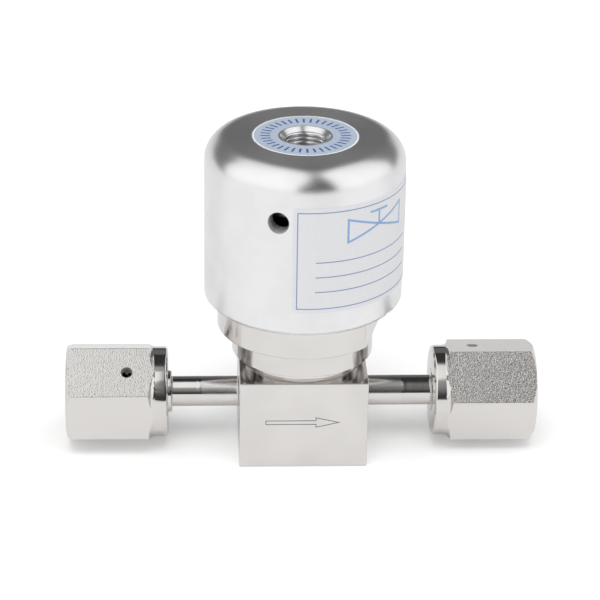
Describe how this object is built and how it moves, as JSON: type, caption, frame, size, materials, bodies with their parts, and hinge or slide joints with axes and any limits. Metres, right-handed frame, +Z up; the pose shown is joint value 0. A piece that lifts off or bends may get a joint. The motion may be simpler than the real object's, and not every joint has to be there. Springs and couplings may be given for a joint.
{
  "type": "pneumatic diaphragm valve",
  "caption": "Air-operated diaphragm valve: round spring-return actuator on a square body, tubes with hexagon nuts for face seal joints.",
  "frame": {"origin": "centre of the body block's underside, on the actuator's axis", "axes": "+X along the tubes towards the outlet, -Y the front with the flow arrow, +Z up along the actuator"},
  "size_m": [0.0978, 0.0409, 0.0687],
  "materials": {
    "steel": "fine brushed",
    "bright_steel": "polished",
    "nut_steel": "grained",
    "foil": "rolled foil",
    "spring_steel": "drawn wire",
    "cap_aluminium": "satin anodised",
    "piston_aluminium": "turned",
    "seat_plastic": "matt",
    "guide_plastic": "matt",
    "seal_rubber": "matt",
    "port_label": "satin film",
    "side_label": "satin film"
  },
  "bodies": {
    "housing": {"valve_body": "steel", "seat_insert": "seat_plastic", "diaphragm_lower": "foil", "diaphragm_middle": "foil", "diaphragm_upper": "foil", "bonnet": "steel", "bonnet_nut": "steel", "actuator_base": "steel", "base_rod_seal": "seal_rubber", "base_cap_seal": "seal_rubber", "upper_rod_seal": "seal_rubber", "outer_spring": "spring_steel", "inner_spring": "spring_steel", "actuator_cap": "cap_aluminium", "port_label": "port_label", "side_label": "side_label", "inlet_gland": "bright_steel", "outlet_gland": "bright_steel"},
    "piston_assembly": {"piston": "piston_aluminium", "piston_seal": "seal_rubber", "piston_guide_ring": "guide_plastic", "stem_button": "steel"},
    "inlet_nut_body": {"inlet_nut": "nut_steel"},
    "outlet_nut_body": {"outlet_nut": "nut_steel"}
  },
  "joints": [
    {"name": "piston_lift", "type": "slide", "parent": "housing", "child": "piston_assembly", "axis": [0, 0, 1], "range_m": [0, 0.0011], "stiffness_N_per_m": 30000, "springref_m": -0.0083, "deforming": ["outer_spring", "inner_spring", "diaphragm_lower", "diaphragm_middle", "diaphragm_upper"]},
    {"name": "inlet_nut_spin", "type": "hinge", "parent": "housing", "child": "inlet_nut_body", "pos_m": [-0.04, 0, 0.011], "axis": [-1, 0, 0], "continuous": true},
    {"name": "outlet_nut_spin", "type": "hinge", "parent": "housing", "child": "outlet_nut_body", "pos_m": [0.04, 0, 0.011], "axis": [1, 0, 0], "continuous": true}
  ]
}
